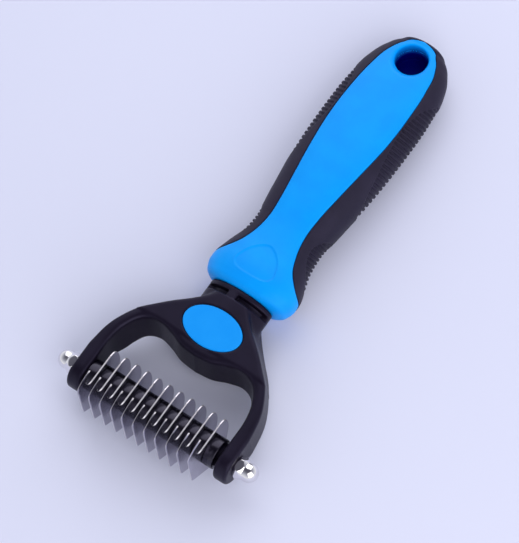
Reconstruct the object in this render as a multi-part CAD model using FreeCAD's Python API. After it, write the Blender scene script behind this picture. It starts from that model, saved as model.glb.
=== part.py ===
import FreeCAD, Part
import math
import os

# Dematting comb for pets: a row of hooked blades threaded on a rod across a
# Y-shaped head, on an ergonomic two-material handle. It lies on its back, teeth up.
# Millimetres. +X runs along the blade rod, +Y from the head to the handle's end,
# +Z up out of the teeth. The origin is the centre of the underside of the whole comb.
# All dimensions below are taken from the middle of the blade rod, then moved.

ROD_TO_ORIGIN_Y = -72.8      # the rod's place along Y
ROD_HEIGHT = 11.5            # the rod's height over the surface it lies on

# --- rod, nuts, blade stack ---
ROD_RADIUS = 2.0
NUT_ACROSS_FLATS = 7.0
NUT_HEX_LENGTH = 3.0
NUT_DOME_RADIUS = 3.2
NUT_TIP_X = 38.5
NUT_SEAT_X = 31.0
BLADE_COUNT = 11
BLADE_PITCH = 4.24
BLADE_THICKNESS = 0.5
STACK_SHIFT_X = -0.5
SPACER_RADIUS = 5.25
BORE_RADIUS = 2.05
STEP_RING_RADIUS = 4.3
STEP_RING_LENGTH = 1.4
STACK_GAP = 0.02

# --- head frame ---
FRAME_TOP = 6.2
FRAME_BOTTOM = -7.2
ARM_INNER_X = 26.0
BOSS_RADIUS = 7.0
FRAME_EDGE_ROUND = 0.8
NECK_HALF_WIDTH = 11.6
NECK_HALF_HEIGHT = 7.0
NECK_END_Y = 43.8
SLOT_WIDTH = 1.8
SLOT_FOOT_Z = 0.6
SLOT_DEPTH = 2.4
SLOT_WEB_X = -1.3
SLOT_WEB_WIDTH = 3.4
COLLAR_END_Y = 47.4
SHOULDER_START_Y = 25.0
SHOULDER_WIDEST_Z = -4.5
NECK_CENTRE_Z = -0.6
TANG_WIDTH = 12.0
TANG_HEIGHT = 7.0
TANG_LENGTH = 27.0
TANG_CLEARANCE = 0.1

# --- oval badge ---
BADGE_Y = 31.9
BADGE_HALF_X = 10.6
BADGE_HALF_Y = 6.8
BADGE_THICKNESS = 1.0
BADGE_PROUD = 0.15
BADGE_CLEARANCE = 0.05

# --- handle ---
# station along Y, half width, top, bottom
HANDLE_STATIONS = [
    (47.5, 12.2, 6.6, -8.2),
    (48.6, 14.3, 7.6, -9.2),
    (51.0, 16.0, 8.3, -10.0),
    (55.0, 16.6, 8.6, -10.5),
    (60.0, 15.5, 8.0, -10.5),
    (66.0, 13.7, 7.1, -10.5),
    (73.0, 12.9, 6.7, -10.6),
    (84.0, 14.1, 7.2, -10.9),
    (100.0, 16.0, 7.6, -11.2),
    (117.0, 16.8, 6.9, -11.3),
    (133.0, 16.5, 5.4, -11.2),
    (143.0, 15.1, 4.0, -10.8),
    (149.5, 12.5, 2.9, -10.0),
    (153.5, 9.3, 2.0, -8.7),
    (156.0, 5.0, 0.9, -6.8),
    (156.6, 2.2, -0.6, -5.2),
]
SECTION_POINTS = 24
SECTION_POWER = 2.35
SKIN = 2.6
# station along Y, half width of the blue face
PANEL_OUTLINE = [
    (55.0, 17.0),
    (58.0, 13.4),
    (61.0, 10.9),
    (66.0, 8.7),
    (74.0, 7.1),
    (81.0, 7.5),
    (90.0, 8.6),
    (102.0, 10.2),
    (115.0, 11.5),
    (128.0, 11.6),
    (139.0, 10.8),
    (147.0, 9.2),
    (152.0, 6.4),
    (154.6, 3.4),
]
PANEL_TIP_Y = 155.3
PANEL_FLOOR_Z = -2.0
FRONT_BAND_Y = 53.6
HOLE_Y = 147.2
HOLE_RADIUS = 5.7
HOLE_WALL_RADIUS = 7.6
HOLE_STRAIGHT_TOP = 2.2
HOLE_FLOOR_Z = -7.4
HOLE_FLOOR_THICKNESS = 1.4
DISH_SLOPE_RUN = 3.0
DISH_HEIGHT = 4.0
THUMB_DEPTH = 0.35
RIB_DEPTH = 0.7
RIB_WIDTH = 0.8
RIB_HEIGHT = 8.0
RIB_FOOT_Z = -6.2
UPPER_RIBS = (92.0, 27, 1.72)      # first rib, count, pitch
LOWER_RIBS = (59.5, 13, 1.45)


def vec(x, y, z):
    return FreeCAD.Vector(x, y, z)


def rod_cylinder(radius, x_from, x_to):
    """A cylinder on the blade rod's axis."""
    return Part.makeCylinder(radius, x_to - x_from, vec(x_from, 0, 0), vec(1, 0, 0))


def closed_curve(points):
    """A smooth closed curve through the points."""
    curve = Part.BSplineCurve()
    curve.interpolate(Points=points, PeriodicFlag=True)
    return Part.Wire([curve.toShape()])


def open_curve(points):
    """A smooth open curve through the points."""
    curve = Part.BSplineCurve()
    curve.interpolate(points)
    return curve.toShape()


def prism(wire, direction):
    return Part.Face(wire).extrude(direction)


def ellipse_prism_y(half_x, half_z, y_from, y_to):
    """An upright ellipse on the neck's axis, drawn out along Y."""
    points = []
    for i in range(SECTION_POINTS):
        a = 2 * math.pi * i / SECTION_POINTS
        points.append(vec(half_x * math.cos(a), y_from, NECK_CENTRE_Z + half_z * math.sin(a)))
    return prism(closed_curve(points), vec(0, y_to - y_from, 0))


# ---------------------------------------------------------------- blades and rod

def blade_outline():
    """The blade's side: a hooked tooth at the front, a plate round the rod behind it."""
    tip = vec(0, -2.5, 14.4)
    kink_top = vec(0, -9.0, 12.9)
    kink_bottom = vec(0, -9.9, 11.6)
    front_corner = vec(0, -11.0, -3.4)
    low_front = vec(0, -1.6, -11.5)
    low_rear = vec(0, 2.2, -11.5)
    rear_low = vec(0, 7.2, -6.6)
    rear_high = vec(0, 9.5, 4.6)
    plate_top = vec(0, 6.6, 7.0)
    throat_start = vec(0, -3.4, 7.3)
    edges = [
        open_curve([tip, vec(0, -5.8, 14.2), kink_top]),
        Part.Arc(kink_top, vec(0, -9.6, 12.3), kink_bottom).toShape(),
        Part.makeLine(kink_bottom, front_corner),
        Part.makeLine(front_corner, low_front),
        Part.makeLine(low_front, low_rear),
        Part.makeLine(low_rear, rear_low),
        open_curve([rear_low, vec(0, 9.1, -2.0), vec(0, 9.7, 1.2), rear_high]),
        Part.Arc(rear_high, vec(0, 8.5, 6.4), plate_top).toShape(),
        Part.makeLine(plate_top, throat_start),
        open_curve([throat_start, vec(0, -5.3, 8.2), vec(0, -5.7, 10.0), vec(0, -4.8, 12.2), tip]),
    ]
    return Part.Wire(edges)


def blade(x_centre):
    plate = prism(blade_outline(), vec(BLADE_THICKNESS, 0, 0))
    plate.translate(vec(x_centre - BLADE_THICKNESS / 2, 0, 0))
    hole = rod_cylinder(BORE_RADIUS, x_centre - BLADE_THICKNESS, x_centre + BLADE_THICKNESS)
    return plate.cut(hole)


def spacer(x_from, x_to):
    tube = rod_cylinder(SPACER_RADIUS, x_from, x_to)
    rims = [e for e in tube.Edges if e.Curve.TypeId == "Part::GeomCircle"]
    tube = tube.makeFillet(0.35, rims)
    return tube.cut(rod_cylinder(BORE_RADIUS, x_from - 1, x_to + 1))


def stepped_spacer(x_from, x_to):
    """An end spacer whose outer end steps down to a smaller ring against the arm."""
    step = x_to - STEP_RING_LENGTH
    ring = rod_cylinder(STEP_RING_RADIUS, step - 0.5, x_to)
    ring = ring.cut(rod_cylinder(BORE_RADIUS, step - 1, x_to + 1))
    return spacer(x_from, step).fuse(ring).removeSplitter()


def acorn_nut(side):
    """A domed cap nut screwed on the rod's end, hexagon against the arm. side is -1 or +1."""
    corner_radius = NUT_ACROSS_FLATS / math.sqrt(3)
    turn = math.radians(7)
    corners = []
    for i in range(7):
        a = turn + i * math.pi / 3
        corners.append(vec(NUT_SEAT_X, corner_radius * math.cos(a), corner_radius * math.sin(a)))
    hexagon = prism(Part.makePolygon(corners), vec(NUT_HEX_LENGTH, 0, 0))
    chamfer = Part.makeCone(corner_radius + 1.4, corner_radius - 0.4, NUT_HEX_LENGTH + 0.01,
                            vec(NUT_SEAT_X, 0, 0), vec(1, 0, 0))
    hexagon = hexagon.common(chamfer)
    dome_centre = NUT_TIP_X - NUT_DOME_RADIUS
    barrel = rod_cylinder(NUT_DOME_RADIUS, NUT_SEAT_X + 1, dome_centre)
    dome = Part.makeSphere(NUT_DOME_RADIUS, vec(dome_centre, 0, 0))
    nut = hexagon.fuse(barrel).fuse(dome).removeSplitter()
    nut = nut.cut(rod_cylinder(BORE_RADIUS, NUT_SEAT_X - 1, dome_centre))
    if side < 0:
        nut = nut.mirror(vec(0, 0, 0), vec(1, 0, 0))
    return nut


def rod():
    end = NUT_TIP_X - NUT_DOME_RADIUS - 0.3
    return rod_cylinder(ROD_RADIUS, -end, end)


# ---------------------------------------------------------------- head frame

def both_sides(points):
    """Points down the right side, then the same points back up the left side."""
    left = [vec(-p.x, p.y, p.z) for p in reversed(points)]
    return points, left


def frame_plan():
    """The head's outer plan: two arms that swing in to the neck."""
    z = FRAME_BOTTOM
    outer_right = [
        vec(30.9, 8.0, z),
        vec(29.9, 14.5, z),
        vec(28.2, 19.4, z),
        vec(24.9, 25.1, z),
        vec(21.2, 28.9, z),
        vec(16.3, 33.6, z),
        vec(11.3, 37.7, z),
        vec(8.8, 40.1, z),
        vec(5.6, NECK_END_Y, z),
    ]
    right, left = both_sides(outer_right)
    foot_y = -BOSS_RADIUS - 1
    edges = [
        Part.makeLine(vec(NUT_SEAT_X, foot_y, z), vec(NUT_SEAT_X, 6.5, z)),
        Part.makeLine(vec(NUT_SEAT_X, 6.5, z), outer_right[0]),
        open_curve(right),
        Part.makeLine(right[-1], left[0]),
        open_curve(left),
        Part.makeLine(left[-1], vec(-NUT_SEAT_X, 6.5, z)),
        Part.makeLine(vec(-NUT_SEAT_X, 6.5, z), vec(-NUT_SEAT_X, foot_y, z)),
        Part.makeLine(vec(-NUT_SEAT_X, foot_y, z), vec(NUT_SEAT_X, foot_y, z)),
    ]
    return Part.Wire(edges)


def window_wire(crown, z):
    """One level of the window: straight between the arms, with a curved crown behind."""
    right = [vec(ARM_INNER_X, 12.0, z)] + [vec(x, y, z) for x, y in crown]
    left = [vec(-p.x, p.y, z) for p in reversed(right[:-1])]
    front_y = -BOSS_RADIUS - 3
    edges = [
        Part.makeLine(vec(ARM_INNER_X, front_y, z), right[0]),
        open_curve(right + left),
        Part.makeLine(left[-1], vec(-ARM_INNER_X, front_y, z)),
        Part.makeLine(vec(-ARM_INNER_X, front_y, z), vec(ARM_INNER_X, front_y, z)),
    ]
    return Part.Wire(edges)


def window_cutter():
    """The open middle of the head; its curved wall leans in toward the bottom."""
    top_crown = [(24.9, 17.6), (21.6, 23.0), (16.3, 25.1), (10.5, 24.0), (5.6, 22.2), (0, 21.6)]
    low_crown = [(24.3, 16.6), (20.4, 21.0), (15.8, 22.9), (10.8, 21.9), (5.9, 20.2), (0, 19.5)]
    levels = [window_wire(low_crown, FRAME_BOTTOM), window_wire(top_crown, FRAME_TOP)]
    return Part.makeLoft(levels, True, True)


def shoulder_wire(points, z):
    """One level of the shoulders: the right side's (x, y) points and their mirror image."""
    right = [vec(x, y, z) for x, y in points]
    left = [vec(-x, y, z) for x, y in reversed(points)]
    edges = [
        open_curve(right),
        Part.makeLine(right[-1], left[0]),
        open_curve(left),
        Part.makeLine(left[-1], right[0]),
    ]
    return Part.Wire(edges)


def shoulders():
    """The sloping side walls that carry the arms into the neck, widest below the rod."""
    start = SHOULDER_START_Y
    end = NECK_END_Y
    upper = [(24.7, start), (21.0, 28.7), (16.1, 33.4), (11.1, 37.5), (8.6, 39.9), (5.4, end)]
    widest = [(25.0, start), (22.5, 28.7), (19.0, 32.3), (14.4, 37.2), (11.7, 40.7), (9.6, end)]
    lower = [(24.9, start), (22.2, 28.8), (18.5, 32.5), (13.4, 37.4), (9.2, 40.8), (4.8, end)]
    levels = [
        shoulder_wire(upper, FRAME_TOP - FRAME_EDGE_ROUND),
        shoulder_wire(widest, SHOULDER_WIDEST_Z),
        shoulder_wire(lower, FRAME_BOTTOM),
    ]
    return Part.makeLoft(levels, True, True)


def neck_slots():
    """Two curved windows across the neck's end, with a web between them on top."""
    end = NECK_END_Y + SLOT_WIDTH
    band = Part.makeBox(40, SLOT_WIDTH, 20, vec(-20, NECK_END_Y, SLOT_FOOT_Z))
    core = ellipse_prism_y(NECK_HALF_WIDTH - SLOT_DEPTH, NECK_HALF_HEIGHT - SLOT_DEPTH,
                           NECK_END_Y - 1, end + 1)
    web = Part.makeBox(SLOT_WEB_WIDTH, SLOT_WIDTH + 2, 30,
                       vec(SLOT_WEB_X - SLOT_WEB_WIDTH / 2, NECK_END_Y - 1, -15))
    return band.cut(core).cut(web)


def head_frame():
    height = FRAME_TOP - FRAME_BOTTOM
    body = prism(frame_plan(), vec(0, 0, height)).cut(window_cutter())
    flat_edges = []
    for edge in body.Edges:
        box = edge.BoundBox
        if box.ZLength < 0.01:
            flat_edges.append(edge)
    body = body.makeFillet(FRAME_EDGE_ROUND, flat_edges)
    # the arms end in half rounds about the rod
    span = 2 * NUT_SEAT_X + 10
    rounding = Part.makeCylinder(BOSS_RADIUS, span, vec(-span / 2, 0, -0.5), vec(1, 0, 0))
    shank = Part.makeBox(span, 80, height + 4, vec(-span / 2, 0, FRAME_BOTTOM - 2))
    body = body.common(rounding.fuse(shank))
    neck = ellipse_prism_y(NECK_HALF_WIDTH, NECK_HALF_HEIGHT, 34.0, COLLAR_END_Y)
    tang = Part.makeBox(TANG_WIDTH, TANG_LENGTH + 1, TANG_HEIGHT,
                        vec(-TANG_WIDTH / 2, COLLAR_END_Y - 1, NECK_CENTRE_Z - TANG_HEIGHT / 2))
    for piece in (shoulders(), neck, tang):
        body = body.fuse(piece)
    body = body.cut(neck_slots())
    body = body.cut(rod_cylinder(BORE_RADIUS, -NUT_SEAT_X - 5, NUT_SEAT_X + 5))
    recess_floor = FRAME_TOP + BADGE_PROUD - BADGE_THICKNESS
    recess = badge_prism(BADGE_CLEARANCE, recess_floor - BADGE_CLEARANCE, FRAME_TOP + 2)
    return body.cut(recess).removeSplitter()


def badge_prism(grow, z_from, z_to):
    ellipse = Part.Ellipse(vec(0, BADGE_Y, z_from), BADGE_HALF_X + grow, BADGE_HALF_Y + grow)
    return prism(Part.Wire([ellipse.toShape()]), vec(0, 0, z_to - z_from))


def badge():
    top = FRAME_TOP + BADGE_PROUD
    disc = badge_prism(0.0, top - BADGE_THICKNESS, top)
    rim = [e for e in disc.Edges if e.BoundBox.ZLength < 0.01 and e.BoundBox.ZMax > top - 0.01]
    return disc.makeFillet(0.25, rim)


# ---------------------------------------------------------------- handle

def signed_power(value, power):
    return math.copysign(abs(value) ** power, value)


def handle_section(y, half_width, top, bottom, inset):
    """One rounded-rectangle cross-section of the handle."""
    centre = (top + bottom) / 2
    half_height = (top - bottom) / 2
    points = []
    for i in range(SECTION_POINTS):
        a = 2 * math.pi * i / SECTION_POINTS
        x = (half_width - inset) * signed_power(math.cos(a), 2 / SECTION_POWER)
        z = centre + (half_height - inset) * signed_power(math.sin(a), 2 / SECTION_POWER)
        points.append(vec(x, y, z))
    return closed_curve(points)


def handle_envelope(inset):
    """The handle's whole outer form, or the same form shrunk by inset."""
    wires = []
    for y, half_width, top, bottom in HANDLE_STATIONS:
        small = min(half_width, (top - bottom) / 2)
        if inset > 0 and (small < inset + 1.2 or y < HANDLE_STATIONS[0][0] + 2 * inset / SKIN):
            continue
        wires.append(handle_section(y, half_width, top, bottom, inset))
    return Part.makeLoft(wires, True, False)


def panel_prism():
    """Everything over the blue face's outline, down to half the handle's depth."""
    z = PANEL_FLOOR_Z
    right = [vec(w, y, z) for y, w in PANEL_OUTLINE]
    left = [vec(-w, y, z) for y, w in PANEL_OUTLINE]
    tip = vec(0, PANEL_TIP_Y, z)
    front_y = HANDLE_STATIONS[0][0] - 2
    outline = [
        open_curve(right + [tip] + list(reversed(left))),
        Part.makeLine(left[0], vec(-20, front_y, z)),
        Part.makeLine(vec(-20, front_y, z), vec(20, front_y, z)),
        Part.makeLine(vec(20, front_y, z), right[0]),
    ]
    return prism(Part.Wire(Part.__sortEdges__(outline)), vec(0, 0, 20))


def thumb_rest_prism():
    """A rounded triangle for the thumb, its flat side toward the head."""
    z = 0.0
    points = [
        vec(0, 52.6, z),
        vec(5.0, 53.0, z),
        vec(7.2, 55.0, z),
        vec(6.6, 58.5, z),
        vec(4.2, 62.4, z),
        vec(0, 64.8, z),
        vec(-4.2, 62.4, z),
        vec(-6.6, 58.5, z),
        vec(-7.2, 55.0, z),
        vec(-5.0, 53.0, z),
    ]
    return prism(closed_curve(points), vec(0, 0, 20))


def hole_cutter():
    """The hang hole: a blind round hole with a straight wall and a dished mouth."""
    straight = Part.makeCylinder(HOLE_RADIUS, 40, vec(0, HOLE_Y, HOLE_FLOOR_Z))
    flare = HOLE_RADIUS + DISH_SLOPE_RUN
    mouth = Part.makeCone(HOLE_RADIUS, flare, DISH_HEIGHT, vec(0, HOLE_Y, HOLE_STRAIGHT_TOP))
    return straight.fuse(mouth)


def tang_pocket():
    grow = TANG_CLEARANCE
    return Part.makeBox(TANG_WIDTH + 2 * grow, TANG_LENGTH + 5, TANG_HEIGHT + 2 * grow,
                        vec(-TANG_WIDTH / 2 - grow, COLLAR_END_Y - 4.5,
                            NECK_CENTRE_Z - TANG_HEIGHT / 2 - grow))


def core_blank():
    """The core before its hole and pocket are cut: bar, blue face and front band, hole's tube."""
    outer = handle_envelope(0)
    face = outer.common(panel_prism())
    front = HANDLE_STATIONS[0][0] - 1
    band = Part.makeBox(60, FRONT_BAND_Y - front, 60, vec(-30, front, -30)).common(outer)
    tube_foot = vec(0, HOLE_Y, HOLE_FLOOR_Z - HOLE_FLOOR_THICKNESS)
    tube = Part.makeCylinder(HOLE_WALL_RADIUS, 40, tube_foot).common(outer)
    return handle_envelope(SKIN).fuse(face).fuse(band).fuse(tube)


def handle_core():
    """The hard inner handle: also the blue face, its front band and the wall of the hang hole."""
    core = core_blank().cut(hole_cutter())
    core = core.cut(tang_pocket())
    thumb = thumb_rest_prism().cut(handle_envelope(THUMB_DEPTH))
    return core.cut(thumb).removeSplitter()


def half_width_at(y):
    """The handle's half width between two stations."""
    for low, high in zip(HANDLE_STATIONS, HANDLE_STATIONS[1:]):
        if low[0] <= y <= high[0]:
            share = (y - low[0]) / (high[0] - low[0])
            return low[1] + share * (high[1] - low[1])
    raise ValueError("no handle at y = %g" % y)


def rib_grooves(first, count, pitch):
    """Grip grooves up both flanks."""
    boxes = []
    for i in range(count):
        y = first + i * pitch
        floor = half_width_at(y + RIB_WIDTH / 2) - RIB_DEPTH
        for corner_x in (floor, -floor - 5):
            boxes.append(Part.makeBox(5, RIB_WIDTH, RIB_HEIGHT, vec(corner_x, y, RIB_FOOT_Z)))
    return Part.makeCompound(boxes)


def grip():
    """The soft overmould: both flanks and the back, with four ribbed patches."""
    cast_round = core_blank().fuse(hole_cutter()).fuse(tang_pocket())
    shell = handle_envelope(0).cut(cast_round)
    for ribs in (UPPER_RIBS, LOWER_RIBS):
        shell = shell.cut(rib_grooves(*ribs))
    return shell


# ---------------------------------------------------------------- assembly

def blade_centres():
    middle = (BLADE_COUNT - 1) / 2
    return [STACK_SHIFT_X + (i - middle) * BLADE_PITCH for i in range(BLADE_COUNT)]


def stack_nodes():
    nodes = {}
    centres = blade_centres()
    half = BLADE_THICKNESS / 2
    for i, x in enumerate(centres):
        nodes["blade_%02d" % (i + 1)] = blade(x)
    for i in range(BLADE_COUNT - 1):
        start = centres[i] + half + STACK_GAP
        end = centres[i + 1] - half - STACK_GAP
        nodes["spacer_%02d" % (i + 1)] = spacer(start, end)
    nodes["end_spacer_left"] = spacer(-ARM_INNER_X + STACK_GAP, centres[0] - half - STACK_GAP)
    nodes["end_spacer_right"] = stepped_spacer(centres[-1] + half + STACK_GAP, ARM_INNER_X - STACK_GAP)
    return nodes


def all_nodes():
    nodes = {
        "head_frame": head_frame(),
        "badge": badge(),
        "handle_core": handle_core(),
        "grip": grip(),
        "rod": rod(),
        "acorn_nut_left": acorn_nut(-1),
        "acorn_nut_right": acorn_nut(1),
    }
    nodes.update(stack_nodes())
    return nodes


os.makedirs("parts", exist_ok=True)
for name, shape in all_nodes().items():
    shape.translate(vec(0, ROD_TO_ORIGIN_Y, ROD_HEIGHT))
    solids = shape.Solids
    if len(solids) != 1:
        raise ValueError("%s is %d solids" % (name, len(solids)))
    solids[0].exportStep("parts/%s.step" % name)
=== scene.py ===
import math

import bmesh
import bpy
import numpy as np
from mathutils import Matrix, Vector
from mathutils.geometry import tessellate_polygon


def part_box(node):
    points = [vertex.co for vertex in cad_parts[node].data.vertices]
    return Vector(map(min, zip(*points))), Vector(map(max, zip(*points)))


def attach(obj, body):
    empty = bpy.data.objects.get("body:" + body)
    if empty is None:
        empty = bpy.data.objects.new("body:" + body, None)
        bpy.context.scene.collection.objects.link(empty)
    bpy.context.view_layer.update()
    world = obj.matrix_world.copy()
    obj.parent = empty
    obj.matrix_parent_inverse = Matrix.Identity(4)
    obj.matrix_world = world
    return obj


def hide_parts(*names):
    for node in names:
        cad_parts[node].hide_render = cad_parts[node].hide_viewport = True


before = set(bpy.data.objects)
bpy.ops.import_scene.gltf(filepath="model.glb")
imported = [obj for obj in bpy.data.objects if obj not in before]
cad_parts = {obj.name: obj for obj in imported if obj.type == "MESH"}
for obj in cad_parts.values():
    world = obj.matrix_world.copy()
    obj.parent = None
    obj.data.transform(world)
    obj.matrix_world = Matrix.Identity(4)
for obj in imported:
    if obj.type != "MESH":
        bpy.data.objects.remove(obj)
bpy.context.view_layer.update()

# Lengths in this script are millimetres from the middle of the blade rod: x along the
# rod, y toward the handle's end, z up out of the teeth. Shapes are signed distances,
# negative inside.
MM = 0.001
rod_low, rod_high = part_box("rod")
ROD = (rod_low + rod_high) / 2


# ---------------------------------------------------------------- helpers

def smooth_step(edge0, edge1, x):
    t = np.clip((x - edge0) / (edge1 - edge0), 0.0, 1.0)
    return t * t * (3 - 2 * t)


def smooth_min(a, b, k):
    h = np.clip(0.5 + 0.5 * (b - a) / k, 0.0, 1.0)
    return b + (a - b) * h - k * h * (1 - h)


def smooth_max(a, b, k):
    return -smooth_min(-a, -b, k)


def spline(points, closed=False, per_span=10):
    """A Catmull-Rom curve through 2-D points, as an array."""
    p = np.asarray(points, float)
    n = len(p)
    if closed:
        p = np.vstack([p[-1], p, p[0], p[1]])
        spans = n
    else:
        p = np.vstack([2 * p[0] - p[1], p, 2 * p[-1] - p[-2]])
        spans = n - 1
    out = []
    for i in range(spans):
        a, b, c, d = p[i:i + 4]
        for t in np.linspace(0, 1, per_span, endpoint=False):
            out.append(0.5 * (2 * b + (c - a) * t + (2 * a - 5 * b + 4 * c - d) * t ** 2
                              + (3 * b - a - 3 * c + d) * t ** 3))
    if not closed:
        out.append(p[-2])
    return np.array(out)


def cubic_table(rows):
    """Smooth interpolation of table columns over the first column."""
    rows = np.asarray(rows, float)
    y = rows[:, 0]
    slopes = np.gradient(rows[:, 1:], y, axis=0)

    def at(value):
        value = np.clip(value, y[0], y[-1])
        i = np.clip(np.searchsorted(y, value) - 1, 0, len(y) - 2)
        h = y[i + 1] - y[i]
        t = ((value - y[i]) / h)[..., None]
        h = h[..., None]
        a, b = rows[i, 1:], rows[i + 1, 1:]
        return ((2 * t ** 3 - 3 * t ** 2 + 1) * a + (t ** 3 - 2 * t ** 2 + t) * h * slopes[i]
                + (3 * t ** 2 - 2 * t ** 3) * b + (t ** 3 - t ** 2) * h * slopes[i + 1])

    return at


def polygon_distance(outline, x, y):
    """Signed distance from points to a closed polygon, negative inside."""
    shape = x.shape
    px, py = x.ravel(), y.ravel()
    best = np.full(px.shape, 1e9)
    inside = np.zeros(px.shape, bool)
    a = outline
    b = np.roll(outline, -1, axis=0)
    for (ax, ay), (bx, by) in zip(a, b):
        ex, ey = bx - ax, by - ay
        wx, wy = px - ax, py - ay
        t = np.clip((wx * ex + wy * ey) / max(ex * ex + ey * ey, 1e-12), 0, 1)
        best = np.minimum(best, (wx - ex * t) ** 2 + (wy - ey * t) ** 2)
        crosses = ((ay > py) != (by > py))
        if ey:
            inside ^= crosses & (px < ex * (py - ay) / ey + ax)
    d = np.sqrt(best)
    return np.where(inside, -d, d).reshape(shape)


def surface(field, low, high, step, relax=3):
    """A mesh of field = 0 by surface nets, with its points then moved onto the surface.

    Returns vertices and quads. The field is negative inside."""
    axes = [np.arange(a - 2 * step, b + 2 * step, step) for a, b in zip(low, high)]
    grid = np.meshgrid(*axes, indexing="ij")
    f = field(*grid)
    inside = f < 0
    nx, ny, nz = f.shape
    total = np.zeros((nx - 1, ny - 1, nz - 1, 3))
    count = np.zeros((nx - 1, ny - 1, nz - 1))
    corners = [(i, j, k) for i in (0, 1) for j in (0, 1) for k in (0, 1)]

    def corner(values, c):
        return values[c[0]:nx - 1 + c[0], c[1]:ny - 1 + c[1], c[2]:nz - 1 + c[2]]

    for p in corners:
        for axis in range(3):
            if p[axis]:
                continue
            q = tuple(v + (1 if i == axis else 0) for i, v in enumerate(p))
            fp, fq = corner(f, p), corner(f, q)
            crossing = (fp < 0) != (fq < 0)
            t = np.where(crossing, fp / np.where(crossing, fp - fq, 1), 0)
            for i in range(3):
                total[..., i] += crossing * (p[i] + (t if i == axis else 0))
            count += crossing
    used = count > 0
    number = np.full(count.shape, -1)
    number[used] = np.arange(used.sum())
    cell = np.argwhere(used)
    start = np.array([a[0] for a in axes])
    points = start + step * (cell + total[used] / count[used][:, None])
    quads = []
    for axis in range(3):
        u, v = (axis + 1) % 3, (axis + 2) % 3
        low_side = [slice(None)] * 3
        high_side = [slice(None)] * 3
        low_side[axis] = slice(0, -1)
        high_side[axis] = slice(1, None)
        change = inside[tuple(low_side)] != inside[tuple(high_side)]
        edge = np.argwhere(change)
        edge = edge[(edge[:, u] > 0) & (edge[:, v] > 0)]
        edge = edge[(edge[:, u] < f.shape[u] - 1) & (edge[:, v] < f.shape[v] - 1)]
        leaving = inside[tuple(edge.T)]
        ring = []
        for du, dv in ((0, 0), (1, 0), (1, 1), (0, 1)):
            c = edge.copy()
            c[:, u] -= du
            c[:, v] -= dv
            ring.append(number[tuple(c.T)])
        ring = np.stack(ring, axis=1)
        ring[~leaving] = ring[~leaving][:, ::-1]
        quads.append(ring)
    quads = np.vstack(quads)
    h = step * 0.05
    for _ in range(relax):
        value = field(*points.T)
        slope = np.stack([
            field(*(points + np.eye(3)[i] * h).T) - field(*(points - np.eye(3)[i] * h).T)
            for i in range(3)], axis=1) / (2 * h)
        size = np.maximum((slope ** 2).sum(1), 0.04)
        move = -(value / size)[:, None] * slope
        length = np.linalg.norm(move, axis=1, keepdims=True)
        points = points + move * np.minimum(1, 0.5 * step / np.maximum(length, 1e-9))
    return points, quads


def add_mesh(name, points, faces, smooth=True):
    """A mesh object from millimetre points, in the object's own frame."""
    mesh = bpy.data.meshes.new(name)
    place = np.asarray(points) * MM + np.array(ROD)
    mesh.from_pydata(place.tolist(), [], [list(map(int, f)) for f in faces])
    mesh.update()
    mesh.polygons.foreach_set("use_smooth", [smooth] * len(mesh.polygons))
    obj = bpy.data.objects.new(name, mesh)
    bpy.context.scene.collection.objects.link(obj)
    return obj


def field_piece(name, field, low, high, step):
    points, quads = surface(field, low, high, step)
    return add_mesh(name, points, quads)


def show(obj, node, material):
    """Puts a finished piece in place of a CAD node."""
    obj.data.materials.clear()
    obj.data.materials.append(material)
    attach(obj, "root")
    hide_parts(node)
    return obj


# ---------------------------------------------------------------- materials

def new_material(name):
    mat = bpy.data.materials.new(name)
    mat.use_nodes = True
    tree = mat.node_tree
    shader = tree.nodes["Principled BSDF"]
    return mat, tree, shader


def noise_texture(tree, scale, detail=4.0, roughness=0.55, stretch=(1, 1, 1)):
    place = tree.nodes.new("ShaderNodeTexCoord")
    mapping = tree.nodes.new("ShaderNodeMapping")
    mapping.inputs["Scale"].default_value = stretch
    tree.links.new(place.outputs["Object"], mapping.inputs["Vector"])
    noise = tree.nodes.new("ShaderNodeTexNoise")
    noise.inputs["Scale"].default_value = scale
    noise.inputs["Detail"].default_value = detail
    noise.inputs["Roughness"].default_value = roughness
    tree.links.new(mapping.outputs["Vector"], noise.inputs["Vector"])
    return noise


def ramp(tree, source, stops):
    """A colour ramp over a 0..1 value. stops are (place, colour)."""
    node = tree.nodes.new("ShaderNodeValToRGB")
    while len(node.color_ramp.elements) < len(stops):
        node.color_ramp.elements.new(0.5)
    for element, (place, colour) in zip(node.color_ramp.elements, stops):
        element.position = place
        element.color = (*colour, 1)
    tree.links.new(source, node.inputs["Fac"])
    return node


def grey(value):
    return (value, value, value)


def add_bump(tree, shader, height, strength, distance):
    bump = tree.nodes.new("ShaderNodeBump")
    bump.inputs["Strength"].default_value = strength
    bump.inputs["Distance"].default_value = distance
    tree.links.new(height, bump.inputs["Height"])
    tree.links.new(bump.outputs["Normal"], shader.inputs["Normal"])
    return bump


def plastic(name, dark, light, rough, grain_scale, grain, variation=900.0, specular=0.5,
            sheen=(1.0, 1.0, 1.0)):
    """Moulded plastic: slight colour and gloss variation and a fine moulded grain."""
    mat, tree, shader = new_material(name)
    broad = noise_texture(tree, variation * 0.12, 3.0)
    colour = ramp(tree, broad.outputs["Fac"], [(0.35, dark), (0.65, light)])
    tree.links.new(colour.outputs["Color"], shader.inputs["Base Color"])
    fine = noise_texture(tree, grain_scale, 5.0, 0.6)
    gloss = ramp(tree, fine.outputs["Fac"], [(0.3, grey(rough[0])), (0.7, grey(rough[1]))])
    tree.links.new(gloss.outputs["Color"], shader.inputs["Roughness"])
    shader.inputs["Specular IOR Level"].default_value = specular
    shader.inputs["Specular Tint"].default_value = (*sheen, 1)
    add_bump(tree, shader, fine.outputs["Fac"], 1.0, grain)
    return mat


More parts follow.
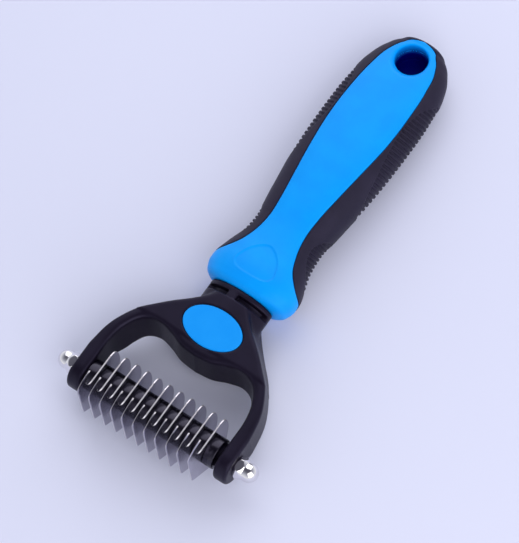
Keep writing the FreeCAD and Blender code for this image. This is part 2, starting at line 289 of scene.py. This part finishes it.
def steel(name, tint, rough, brushed, stretch):
    """Metal with fine directional polishing marks and faint smudges."""
    mat, tree, shader = new_material(name)
    shader.inputs["Metallic"].default_value = 1.0
    marks = noise_texture(tree, 900.0, 3.0, 0.7, stretch)
    smudge = noise_texture(tree, 140.0, 3.0)
    colour = ramp(tree, smudge.outputs["Fac"],
                  [(0.3, tuple(c * 0.86 for c in tint)), (0.7, tint)])
    tree.links.new(colour.outputs["Color"], shader.inputs["Base Color"])
    gloss = ramp(tree, marks.outputs["Fac"], [(0.3, grey(rough[0])), (0.7, grey(rough[1]))])
    tree.links.new(gloss.outputs["Color"], shader.inputs["Roughness"])
    add_bump(tree, shader, marks.outputs["Fac"], 1.0, brushed)
    return mat


def paint_depth_shade(mat, z_dark, z_light, dark):
    """Paints shade into a finish, darker with depth, standing in for the unlit bottom of a hole. Heights
    are the comb's own.
    """
    tree = mat.node_tree
    shader = tree.nodes["Principled BSDF"]
    place = tree.nodes.new("ShaderNodeTexCoord")
    split = tree.nodes.new("ShaderNodeSeparateXYZ")
    tree.links.new(place.outputs["Object"], split.inputs["Vector"])
    depth = tree.nodes.new("ShaderNodeMapRange")
    depth.inputs["From Min"].default_value = z_dark * MM + ROD.z
    depth.inputs["From Max"].default_value = z_light * MM + ROD.z
    tree.links.new(split.outputs["Z"], depth.inputs["Value"])
    base = shader.inputs["Base Color"].links[0].from_socket
    mix = tree.nodes.new("ShaderNodeMix")
    mix.data_type = "RGBA"
    mix.inputs["A"].default_value = (*dark, 1)
    tree.links.new(depth.outputs["Result"], mix.inputs["Factor"])
    tree.links.new(base, mix.inputs["B"])
    tree.links.new(mix.outputs["Result"], shader.inputs["Base Color"])


BLACK = plastic("black_plastic", (0.0040, 0.0022, 0.0070), (0.0065, 0.004, 0.011), (0.34, 0.46),
                2600.0, 0.000012, specular=0.3, sheen=(0.66, 0.62, 1.0))
GLOSS_BLACK = plastic("spacer_black", (0.001, 0.0005, 0.002), (0.0025, 0.0015, 0.006),
                      (0.16, 0.28), 1500.0, 0.000004, specular=0.6, sheen=(0.8, 0.75, 1.0))
RUBBER = plastic("grip_rubber", (0.008, 0.006, 0.015), (0.013, 0.010, 0.023), (0.48, 0.62),
                 3200.0, 0.00003, specular=0.42, sheen=(0.70, 0.66, 1.0))
BLUE = plastic("handle_blue", (0.0, 0.325, 0.97), (0.0, 0.355, 1.0), (0.36, 0.5),
               2200.0, 0.000010, specular=0.3, sheen=(0.35, 0.8, 1.0))
# The hang hole's blue with painted shade: darker towards the hole's floor, standing in for the unlit
# depth.
HOLE_BLUE_PAINTED_SHADE = plastic("hole_blue_painted_shade", (0.0, 0.325, 0.97), (0.0, 0.355, 1.0), (0.5, 0.6),
                    2200.0, 0.000010, specular=0.1, sheen=(0.3, 0.7, 1.0))
paint_depth_shade(HOLE_BLUE_PAINTED_SHADE, -3.6, 2.2, (0.0, 0.0, 0.20))
BADGE_BLUE = plastic("badge_blue", (0.003, 0.315, 0.93), (0.006, 0.335, 0.95), (0.45, 0.55),
                     1800.0, 0.000006, specular=0.12)
BLADE = steel("blade_steel", (0.50, 0.48, 0.56), (0.16, 0.28), 0.000002, (0.2, 1.0, 6.0))
# Ground blade edges: rougher steel, with a lighter tint that is partly a painted highlight.
BLADE_RIM_GROUND_AND_HIGHLIGHT = steel("blade_rim", (0.70, 0.67, 0.70), (0.36, 0.48), 0.000004, (0.2, 1.0, 6.0))
NUT = steel("nut_nickel", (0.84, 0.82, 0.84), (0.05, 0.10), 0.000001, (1.0, 1.0, 1.0))
ROD_STEEL = steel("rod_steel", (0.55, 0.55, 0.57), (0.2, 0.35), 0.00001, (8.0, 1.0, 1.0))


# ---------------------------------------------------------------- head frame

FRAME_TOP = 6.2
FRAME_BOTTOM = -7.2
ARM_INNER = 26.0
BORE_RADIUS = 2.05
NUT_SEAT = 31.0
BOSS_RADIUS = 7.0
NECK_END = 43.8
NECK_HALF_X = 11.6
NECK_HALF_Z = 7.0
NECK_Z = -0.6
COLLAR_END = 47.4
SLOT_WIDTH = 1.8
SLOT_DEPTH = 2.4
SLOT_FOOT = 0.6
SLOT_WEB_X = -1.3
SLOT_WEB_HALF = 1.7
TANG_HALF_X = 6.0
TANG_HALF_Z = 3.5
TANG_MIDDLE_Y = 60.0
TANG_HALF_Y = 14.4
WINDOW_LEAN = 0.155
BADGE_Y = 31.9
BADGE_HALF_X = 10.6
BADGE_HALF_Y = 6.8
BADGE_FLOOR = FRAME_TOP - 0.85
BADGE_MIDDLE = FRAME_TOP - 0.35
BADGE_HALF_THICKNESS = 0.5
SHOULDER_MIDDLE_Y = 34.4
SHOULDER_HALF_Y = 9.4
SHOULDER_TOP = 5.4
SHOULDER_WIDEST = -4.5
# place along y, then half width at the top, at the widest level and at the bottom
SHOULDERS = cubic_table([
    (25.0, 24.7, 25.0, 24.9), (28.8, 21.0, 22.4, 22.2), (33.0, 16.5, 18.4, 18.0),
    (37.3, 11.4, 14.4, 13.4), (40.2, 8.5, 12.0, 9.8), (43.8, 5.2, 9.6, 4.8),
    (48.0, 2.0, 8.0, 2.0)])


def frame_outlines():
    """The head's outer plan and the plan of the window in it."""
    outer = spline([(31.0, -12.0), (31.0, 6.5), (30.9, 8.0), (29.9, 14.5), (28.2, 19.4),
                    (24.9, 25.1), (21.2, 28.9), (16.3, 33.6), (11.3, 37.7), (8.8, 40.1),
                    (5.6, NECK_END)])
    inner = spline([(0.0, 21.6), (5.6, 22.2), (10.5, 24.0), (16.3, 25.1), (21.6, 23.0),
                    (24.9, 17.6), (ARM_INNER, 12.0), (ARM_INNER, 4.0), (ARM_INNER, -14.0)])
    return np.vstack([outer, outer[::-1] * [-1, 1]]), np.vstack([inner[::-1] * [-1, 1], inner[1:]])


FRAME_PLAN, WINDOW_PLAN = frame_outlines()


def plan_distance(outline, x, y):
    """polygon_distance that works one level at a time on a full grid."""
    if x.ndim == 3:
        flat = polygon_distance(outline, x[:, :, 0], y[:, :, 0])[:, :, None]
        return np.broadcast_to(flat, x.shape)
    return polygon_distance(outline, x, y)


def oval_y(x, z, half_x, half_z):
    """Distance-like value of an upright ellipse on the neck's axis."""
    q = np.sqrt((x / half_x) ** 2 + ((z - NECK_Z) / half_z) ** 2)
    g = np.sqrt((x / half_x ** 2) ** 2 + ((z - NECK_Z) / half_z ** 2) ** 2) / np.maximum(q, 1e-6)
    return (q - 1) / np.maximum(g, 1e-3)


def frame_field(x, y, z):
    """The Y-shaped head with its neck, slotted collar, tang and badge recess."""
    lean = WINDOW_LEAN * (FRAME_TOP - z) * smooth_step(9.0, 16.0, y)
    window = plan_distance(WINDOW_PLAN, x, y) + lean
    plan = smooth_max(plan_distance(FRAME_PLAN, x, y), -window, 0.6)
    middle = (FRAME_TOP + FRAME_BOTTOM) / 2
    half = (FRAME_TOP - FRAME_BOTTOM) / 2
    body = smooth_max(plan, np.abs(z - middle) - half, 1.8)
    boss = np.hypot(np.minimum(y, 0), z + 0.5) - BOSS_RADIUS
    body = smooth_max(body, boss, 1.2)
    side = SHOULDERS(y)
    above = np.clip((z - SHOULDER_WIDEST) / (SHOULDER_TOP - SHOULDER_WIDEST), 0, 1.1)
    below = np.clip((SHOULDER_WIDEST - z) / (SHOULDER_WIDEST - FRAME_BOTTOM), 0, 1)
    reach = side[..., 1] + above * (side[..., 0] - side[..., 1]) + below * (side[..., 2] - side[..., 1])
    slope = smooth_max(np.abs(x) - reach, np.abs(y - SHOULDER_MIDDLE_Y) - SHOULDER_HALF_Y, 0.3) * 0.8
    slope = smooth_max(slope, np.abs(z - middle) - half, 1.0)
    body = smooth_min(body, slope, 0.5)
    neck = smooth_max(oval_y(x, z, NECK_HALF_X, NECK_HALF_Z), y - COLLAR_END, 0.5)
    neck = smooth_max(neck, 35.0 - y, 3.0)
    body = smooth_min(body, neck, 1.2)
    body = np.where(y > NECK_END - 0.4, np.maximum(body, neck - 0.02), body)
    slot = np.maximum(np.abs(y - NECK_END - SLOT_WIDTH / 2) - SLOT_WIDTH / 2, SLOT_FOOT - z)
    slot = smooth_max(slot, -oval_y(x, z, NECK_HALF_X - SLOT_DEPTH, NECK_HALF_Z - SLOT_DEPTH), 0.3)
    slot = smooth_max(slot, SLOT_WEB_HALF - np.abs(x - SLOT_WEB_X), 0.3)
    body = smooth_max(body, -slot, 0.45)
    tang = np.maximum(np.maximum(np.abs(x) - TANG_HALF_X, np.abs(z - NECK_Z) - TANG_HALF_Z),
                      np.abs(y - TANG_MIDDLE_Y) - TANG_HALF_Y)
    body = np.minimum(body, tang)
    recess = np.hypot(x / BADGE_HALF_X, (y - BADGE_Y) / BADGE_HALF_Y)
    recess = (recess - 1) * 7.6
    recess = np.maximum(recess - 0.12, BADGE_FLOOR - z)
    return smooth_max(body, -recess, 0.35)


def badge_field(x, y, z):
    """The oval badge, a flat disc with a rounded rim."""
    away = y - BADGE_Y
    q = np.hypot(x / BADGE_HALF_X, away / BADGE_HALF_Y)
    g = np.hypot(x / BADGE_HALF_X ** 2, away / BADGE_HALF_Y ** 2) / np.maximum(q, 1e-6)
    rim = (q - 1) / np.maximum(g, 1e-3)
    return smooth_max(rim, np.abs(z - BADGE_MIDDLE) - BADGE_HALF_THICKNESS, 0.3)


STEP_FRAME = 0.3
head = field_piece("head_frame_visual", frame_field, (-31.2, -7.2, -7.4), (31.2, 74.6, 6.6), STEP_FRAME)
show(head, "head_frame", BLACK)
badge = field_piece("badge_visual", badge_field, (-10.8, 24.9, 5.2), (10.8, 38.9, 6.5), 0.25)
show(badge, "badge", BADGE_BLUE)


# ---------------------------------------------------------------- handle

# place along y, half width, top, bottom
STATIONS = cubic_table([
    (47.5, 12.2, 6.6, -8.2), (48.6, 14.3, 7.6, -9.2), (51.0, 16.0, 8.3, -10.0),
    (55.0, 16.6, 8.6, -10.5), (60.0, 15.5, 8.0, -10.5), (66.0, 13.7, 7.1, -10.5),
    (73.0, 12.9, 6.7, -10.6), (84.0, 14.1, 7.2, -10.9), (100.0, 16.0, 7.6, -11.2),
    (117.0, 16.8, 6.9, -11.3), (133.0, 16.5, 5.4, -11.2), (143.0, 15.1, 4.0, -10.8),
    (149.5, 12.5, 2.9, -10.0), (153.5, 9.3, 2.0, -8.7), (156.0, 5.0, 0.9, -6.8),
    (156.6, 2.2, -0.6, -5.2)])
# place along y, half width of the blue face
PANEL = cubic_table([
    (47.0, 22.0), (52.0, 19.5), (55.0, 16.6), (58.0, 13.4), (61.0, 10.9), (66.0, 8.7),
    (74.0, 7.2), (81.0, 7.5), (90.0, 8.6), (102.0, 10.2), (115.0, 11.5), (128.0, 11.6),
    (139.0, 10.8), (147.0, 9.2), (152.0, 6.4), (154.6, 3.4), (155.6, -0.6), (157.0, -4.0)])
POWER = 2.35
HANDLE_START = 47.55
HANDLE_END = 156.55
PANEL_FLOOR = -2.0
FRONT_BAND = 53.6
HOLE_Y = 147.2
HOLE_RADIUS = 5.7
HOLE_FLOOR = -7.4
HOLE_FLOOR_THICKNESS = 1.4
HOLE_WALL_RADIUS = 7.6
HOLE_MOUTH = 2.2
CORE_WALL = 5.0
GRIP_WALL = 3.0
SEAM = 0.04
THUMB = spline([(0, 52.6), (5.0, 53.0), (7.2, 55.0), (6.6, 58.5), (4.2, 62.4), (0, 64.8),
                (-4.2, 62.4), (-6.6, 58.5), (-7.2, 55.0), (-5.0, 53.0)], closed=True)


def envelope(x, y, z):
    """The handle's outer form, with rounded ends."""
    table = STATIONS(y)
    half_x = table[..., 0]
    centre = (table[..., 1] + table[..., 2]) / 2
    half_z = (table[..., 1] - table[..., 2]) / 2
    ax = np.abs(x) / half_x
    az = np.abs(z - centre) / half_z
    q = np.maximum(ax ** POWER + az ** POWER, 1e-9)
    r = q ** (1 / POWER)
    g = q ** (1 / POWER - 1) * np.hypot(ax ** (POWER - 1) / half_x, az ** (POWER - 1) / half_z)
    d = (r - 1) / np.maximum(g, 0.02)
    d = smooth_max(d, HANDLE_START - y, 0.8)
    return smooth_max(d, y - HANDLE_END, 0.8)


def hang_hole(x, y, z):
    """Negative in the blind hang hole, with its dished mouth."""
    mouth = HOLE_RADIUS + 0.75 * np.maximum(z - HOLE_MOUTH, 0)
    return np.maximum(np.hypot(x, y - HOLE_Y) - mouth, HOLE_FLOOR - z)


def blue_side(x, y, z):
    """Negative where the handle is the hard blue part, positive where it is soft black."""
    top = smooth_max(np.abs(x) - PANEL(y)[..., 0], PANEL_FLOOR - z, 1.0)
    front = y - (FRONT_BAND + 0.12 * (z - PANEL_FLOOR))
    side = smooth_min(top, front, 2.5)
    tube = np.maximum(np.hypot(x, y - HOLE_Y) - HOLE_WALL_RADIUS,
                      HOLE_FLOOR - HOLE_FLOOR_THICKNESS - z)
    return np.minimum(side, np.maximum(tube, z + 2.5))


def blue_field(x, y, z):
    """The hard blue core: its face, front band, thumb rest and hang hole, hollow inside."""
    d = envelope(x, y, z)
    thumb = plan_distance(THUMB, x, y)
    d = d + 0.3 * smooth_step(0.3, -0.3, thumb) * (z > 0)
    d = d - 0.16 * np.exp(-(thumb / 0.32) ** 2) * (z > 0)
    d = smooth_max(d, blue_side(x, y, z) + SEAM, 0.5)
    hollow = np.maximum(envelope(x, y, z) + CORE_WALL, y - (HOLE_Y - 11.2))
    d = smooth_max(d, -hollow, 0.3)
    return smooth_max(d, -hang_hole(x, y, z), 0.9)


PATCH_DEPTH = 0.16
RIB_DEPTH = 0.55
PALM_PITCH = 1.72
WAIST_PITCH = 1.45
RIB_LEAN = 0.18


def rib_patch(y, z, first, last, pitch, upper, lower, lean):
    """Depth of one lens-shaped patch of grip ribs: a shallow recess with deep slots in it."""
    top = upper(y)[..., 0]
    low = lower(y)[..., 0]
    inside = np.minimum(np.minimum(top - z, z - low), np.minimum(y - first, last - y) * 1.5)
    recess = smooth_step(-0.12, 0.3, inside)
    phase = (y + lean * (z - top) - first) / pitch
    wave = 0.5 - 0.5 * np.cos(2 * np.pi * phase)
    slots = smooth_step(0.25, 0.6, wave) * smooth_step(0.2, 0.6, inside)
    return PATCH_DEPTH * recess + RIB_DEPTH * slots


PALM_UPPER = cubic_table([(88, -5), (91.5, -2.2), (96, 1.2), (104, 3.5), (112, 4.4), (120, 4.5),
                          (128, 3.7), (134, 1.9), (138, -1.0), (142, -5)])
PALM_LOWER = cubic_table([(88, -5), (92, -6.5), (97, -8.2), (112, -9.0), (124, -9.0), (134, -8.2),
                          (138, -6.8), (142, -5)])
WAIST_UPPER = cubic_table([(55, -5), (58.5, -2.8), (62, 0.6), (66, 2.8), (70, 3.7), (74, 3.2),
                           (77, 1.4), (79, -1.5), (82, -5)])
WAIST_LOWER = cubic_table([(55, -5), (58.5, -6.0), (63, -8.0), (70, -8.8), (76, -7.6), (79, -5.8),
                           (82, -5)])


def rib_depth(x, y, z):
    """Depth of the grip grooves: a long patch along the palm and a short one at the waist."""
    palm = rib_patch(y, z, 91.0, 138.5, PALM_PITCH, PALM_UPPER, PALM_LOWER, RIB_LEAN)
    waist = rib_patch(y, z, 58.0, 79.0, WAIST_PITCH, WAIST_UPPER, WAIST_LOWER, RIB_LEAN)
    return palm + waist


def black_field(x, y, z):
    """The soft black shell over the flanks and the back."""
    d = envelope(x, y, z)
    d = d + rib_depth(x, y, z)
    d = smooth_max(d, -blue_side(x, y, z) + SEAM, 0.5)
    d = smooth_max(d, -(envelope(x, y, z) + GRIP_WALL), 0.3)
    tube = np.minimum(HOLE_WALL_RADIUS + 0.05 - np.hypot(x, y - HOLE_Y),
                      z - (HOLE_FLOOR - HOLE_FLOOR_THICKNESS - 0.05))
    return smooth_max(d, tube, 0.4)


STEP_HANDLE = 0.32
blue = field_piece("handle_blue_visual", blue_field, (-17, 47.2, -11.8), (17, 156.9, 9.0), STEP_HANDLE)
show(blue, "handle_core", BLUE)
blue.data.materials.append(HOLE_BLUE_PAINTED_SHADE)
# Faces inside the hang hole take the blue with painted shade, darker with depth.
for face in blue.data.polygons:
    spot = (face.center - ROD) / MM
    if math.hypot(spot.x, spot.y - HOLE_Y) < 6.2 and spot.z < 2.6:
        face.material_index = 1
black = field_piece("grip_visual", black_field, (-17, 52.0, -11.8), (17, 156.9, 9.0), STEP_HANDLE * 0.85)
show(black, "grip", RUBBER)


# ---------------------------------------------------------------- blades

def blade_outline():
    """The blade's side: a hooked tooth at the front and a plate round the rod."""
    top = spline([(-2.5, 14.4), (-4.2, 14.5), (-6.6, 14.1), (-8.8, 13.1), (-9.7, 12.1), (-9.95, 11.0)],
                 per_span=6)
    rear = spline([(7.2, -6.6), (9.1, -2.0), (9.7, 1.2), (9.6, 4.2), (8.7, 6.2), (6.6, 7.1)],
                  per_span=6)
    throat = spline([(-2.4, 7.3), (-4.0, 7.4), (-5.3, 8.2), (-5.7, 10.0), (-4.8, 12.2), (-2.5, 14.4)],
                    per_span=6)
    corner = [(-11.0, -3.2), (-10.7, -3.7)]
    low = [(-1.9, -11.3), (-1.4, -11.5), (2.2, -11.5), (2.7, -11.3)]
    return np.vstack([top, corner, low, rear, throat[:-1]])


BLADE_OUTLINE = blade_outline()
BLADE_HALF = 0.25
BLADE_COUNT = 11
ROUND_SIDES = 32


def inset_points(outline, wanted, keep):
    """The outline moved inward by up to the wanted distance, less where it is narrow."""
    ahead = np.roll(outline, -1, axis=0) - outline
    behind = outline - np.roll(outline, 1, axis=0)
    ahead /= np.linalg.norm(ahead, axis=1, keepdims=True)
    behind /= np.linalg.norm(behind, axis=1, keepdims=True)
    along = ahead + behind
    along /= np.maximum(np.linalg.norm(along, axis=1, keepdims=True), 1e-9)
    normal = np.stack([-along[:, 1], along[:, 0]], axis=1)
    test = outline + normal * 0.02
    sign = np.where(polygon_distance(outline, test[:, 0], test[:, 1]) < 0, 1, -1)[:, None]
    result = outline.copy()
    for share in np.linspace(1.0, 0.05, 20):
        moved = outline + normal * sign * (wanted * share)[:, None]
        depth = -polygon_distance(outline, moved[:, 0], moved[:, 1])
        good = (depth > keep * wanted * share) & np.all(result == outline, axis=1)
        result[good] = moved[good]
    return result


def blade_parts():
    """Points and faces of one blade, ground thin on the tooth, with its hole for the rod."""
    outline = BLADE_OUTLINE
    ground = smooth_step(7.0, 8.5, outline[:, 1])
    wanted = 0.08 + 0.3 * ground
    cap = inset_points(outline, wanted, 0.9)
    edge_half = 0.20 - 0.12 * ground
    n = len(outline)
    turn = np.linspace(0, 2 * np.pi, ROUND_SIDES, endpoint=False)
    hole = BORE_RADIUS * np.stack([np.cos(turn), np.sin(turn)], axis=1)
    rings = [
        (cap, np.full(n, BLADE_HALF)), (outline, edge_half),
        (outline, -edge_half), (cap, np.full(n, -BLADE_HALF))]
    points, faces = [], []
    for ring, x in rings:
        points += [(x[i], ring[i, 0], ring[i, 1]) for i in range(n)]
    for r in range(3):
        for i in range(n):
            j = (i + 1) % n
            faces.append((r * n + i, (r + 1) * n + i, (r + 1) * n + j, r * n + j))
    base = 4 * n
    m = len(hole)
    points += [(BLADE_HALF, y, z) for y, z in hole] + [(-BLADE_HALF, y, z) for y, z in hole]
    for i in range(m):
        j = (i + 1) % m
        faces.append((base + i, base + j, base + m + j, base + m + i))
    loops = [[Vector((y, z, 0)) for y, z in cap], [Vector((y, z, 0)) for y, z in hole]]
    for tri in tessellate_polygon(loops):
        front = [t if t < n else base + t - n for t in tri]
        rear = [t + 3 * n if t < n else base + m + t - n for t in tri]
        faces.append(tuple(front))
        faces.append(tuple(reversed(rear)))
    return np.array(points), faces


def mend_normals(obj):
    bm = bmesh.new()
    bm.from_mesh(obj.data)
    bmesh.ops.recalc_face_normals(bm, faces=bm.faces)
    bm.to_mesh(obj.data)
    bm.free()


blade_points, blade_faces = blade_parts()
for i in range(1, BLADE_COUNT + 1):
    node = "blade_%02d" % i
    low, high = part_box(node)
    shift = ((low.x + high.x) / 2 - ROD.x) / MM
    obj = add_mesh(node + "_visual", blade_points + [shift, 0, 0], blade_faces, smooth=False)
    mend_normals(obj)
    show(obj, node, BLADE)
    # The edge faces take the ground edge finish, whose lighter tint is partly a painted highlight.
    obj.data.materials.append(BLADE_RIM_GROUND_AND_HIGHLIGHT)
    for face in obj.data.polygons:
        if abs(face.normal.x) < 0.9:
            face.material_index = 1


# ---------------------------------------------------------------- spacers, rod and nuts

def lathe(name, profile, segments=64):
    """A closed solid turned about the rod. profile is a loop of (x, radius)."""
    points, faces = [], []
    n = len(profile)
    for s in range(segments):
        a = 2 * math.pi * s / segments
        points += [(x, r * math.cos(a), r * math.sin(a)) for x, r in profile]
    for s in range(segments):
        t = (s + 1) % segments
        for i in range(n):
            j = (i + 1) % n
            faces.append((s * n + i, s * n + j, t * n + j, t * n + i))
    obj = add_mesh(name, points, faces)
    mend_normals(obj)
    return obj


def rounded_tube(x0, x1, outer, inner, edge):
    """A tube's half section with its rims rounded."""
    loop = [(x0, inner)]
    for cx, start in ((x0 + edge, 180), (x1 - edge, 90)):
        for k in range(6):
            a = math.radians(start - 90 * k / 5)
            loop.append((cx + edge * math.cos(a), outer - edge + edge * math.sin(a)))
    loop.append((x1, inner))
    return loop


def tube_span(node):
    low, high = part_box(node)
    return (low.x - ROD.x) / MM, (high.x - ROD.x) / MM


SPACER_RADIUS = 5.25
SPACER_EDGE = 0.35
RING_RADIUS = 4.3
RING_LENGTH = 1.4
RING_EDGE = 0.2

plain_spacers = ["spacer_%02d" % i for i in range(1, BLADE_COUNT)] + ["end_spacer_left"]
for node in plain_spacers:
    x0, x1 = tube_span(node)
    obj = lathe(node + "_visual", rounded_tube(x0, x1, SPACER_RADIUS, BORE_RADIUS, SPACER_EDGE))
    show(obj, node, GLOSS_BLACK)
x0, x1 = tube_span("end_spacer_right")
step = x1 - RING_LENGTH
profile = rounded_tube(x0, step, SPACER_RADIUS, BORE_RADIUS, SPACER_EDGE)[:-1]
profile += [(step, RING_RADIUS), (x1 - RING_EDGE, RING_RADIUS), (x1, RING_RADIUS - RING_EDGE),
            (x1, BORE_RADIUS)]
obj = lathe("end_spacer_right_visual", profile)
show(obj, "end_spacer_right", GLOSS_BLACK)


NUT_HALF_FLATS = 3.5
NUT_HALF_HEX = 1.5
NUT_DOME_RADIUS = 3.2
NUT_TIP = 38.5
NUT_TURN = math.radians(37)


def nut_field(x, y, z):
    """A domed cap nut pointing along +x from its seat."""
    d = np.full(np.shape(y), -1e9)
    for k in range(6):
        a = NUT_TURN + k * math.pi / 3
        d = np.maximum(d, y * math.cos(a) + z * math.sin(a) - NUT_HALF_FLATS)
    r = np.hypot(y, z)
    chamfer = r - 3.75 + 0.55 * np.maximum(x - (NUT_SEAT + 2.2), (NUT_SEAT + 0.5) - x)
    length = np.abs(x - (NUT_SEAT + NUT_HALF_HEX)) - NUT_HALF_HEX
    hexagon = smooth_max(smooth_max(d, chamfer, 0.15), length, 0.2)
    centre = NUT_TIP - NUT_DOME_RADIUS
    dome = np.hypot(np.maximum(x - centre, 0), r) - NUT_DOME_RADIUS
    dome = np.maximum(dome, NUT_SEAT + NUT_HALF_HEX - x)
    body = smooth_min(hexagon, dome, 0.35)
    bore = np.maximum(r - BORE_RADIUS, x - centre)
    return np.maximum(body, -bore)


nut_points, nut_quads = surface(nut_field, (NUT_SEAT - 0.1, -4.1, -4.1), (38.6, 4.1, 4.1), 0.16)
right_nut = add_mesh("acorn_nut_right_visual", nut_points, nut_quads)
show(right_nut, "acorn_nut_right", NUT)
left_nut = add_mesh("acorn_nut_left_visual", nut_points * [-1, 1, 1], nut_quads[:, ::-1])
show(left_nut, "acorn_nut_left", NUT)

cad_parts["rod"].data.materials.clear()
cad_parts["rod"].data.materials.append(ROD_STEEL)


# ---------------------------------------------------------------- floor, light, camera

floor_mesh = bpy.data.meshes.new("floor")
floor_mesh.from_pydata([(-3, -3, 0), (3, -3, 0), (3, 3, 0), (-3, 3, 0)], [], [(0, 1, 2, 3)])
floor = bpy.data.objects.new("floor", floor_mesh)
bpy.context.scene.collection.objects.link(floor)
floor_mat, floor_tree, floor_shader = new_material("pale_floor")
floor_noise = noise_texture(floor_tree, 3.0, 2.0)
floor_colour = ramp(floor_tree, floor_noise.outputs["Fac"],
                    [(0.3, (0.74, 0.76, 0.93)), (0.7, (0.77, 0.79, 0.95))])
floor_tree.links.new(floor_colour.outputs["Color"], floor_shader.inputs["Base Color"])
floor_shader.inputs["Roughness"].default_value = 0.7
floor.data.materials.append(floor_mat)

world = bpy.data.worlds.new("studio")
bpy.context.scene.world = world
world.use_nodes = True
sky = world.node_tree
sky_place = sky.nodes.new("ShaderNodeTexCoord")
sky_split = sky.nodes.new("ShaderNodeSeparateXYZ")
sky.links.new(sky_place.outputs["Generated"], sky_split.inputs["Vector"])
sky_ramp = ramp(sky, sky_split.outputs["Z"], [
    (0.0, (0.95, 0.97, 1.0)),
    (0.45, (0.60, 0.62, 0.70)),
    (0.75, (0.30, 0.31, 0.36)),
    (0.95, (0.10, 0.10, 0.13))])
sky.links.new(sky_ramp.outputs["Color"], sky.nodes["Background"].inputs["Color"])
sky.nodes["Background"].inputs["Strength"].default_value = 1.1


def area_light(name, place, target, size, power, colour=(1, 1, 1)):
    light = bpy.data.lights.new(name, "AREA")
    light.shape = "RECTANGLE"
    light.size, light.size_y = size
    light.energy = power
    light.color = colour
    obj = bpy.data.objects.new(name, light)
    obj.location = place
    obj.rotation_euler = (Vector(target) - Vector(place)).to_track_quat("-Z", "Y").to_euler()
    bpy.context.scene.collection.objects.link(obj)
    return obj


area_light("key", (0.60, -0.35, 0.55), (0, 0, 0), (0.9, 0.9), 4.6, (1.0, 0.98, 0.98))
area_light("back", (-0.25, 0.60, 0.65), (0, 0, 0), (1.0, 1.0), 4.6, (0.97, 0.97, 1.0))

camera_data = bpy.data.cameras.new("camera")
camera_data.lens = 145.9
camera_data.sensor_width = 36.0
camera = bpy.data.objects.new("camera", camera_data)
camera.location = (0.2139, -0.2116, 0.6575)
camera.rotation_euler = [math.radians(a) for a in (23.58, 5.77, 34.50)]
bpy.context.scene.collection.objects.link(camera)
bpy.context.scene.camera = camera

bpy.context.scene.view_settings.view_transform = "Standard"

bpy.context.view_layer.update()
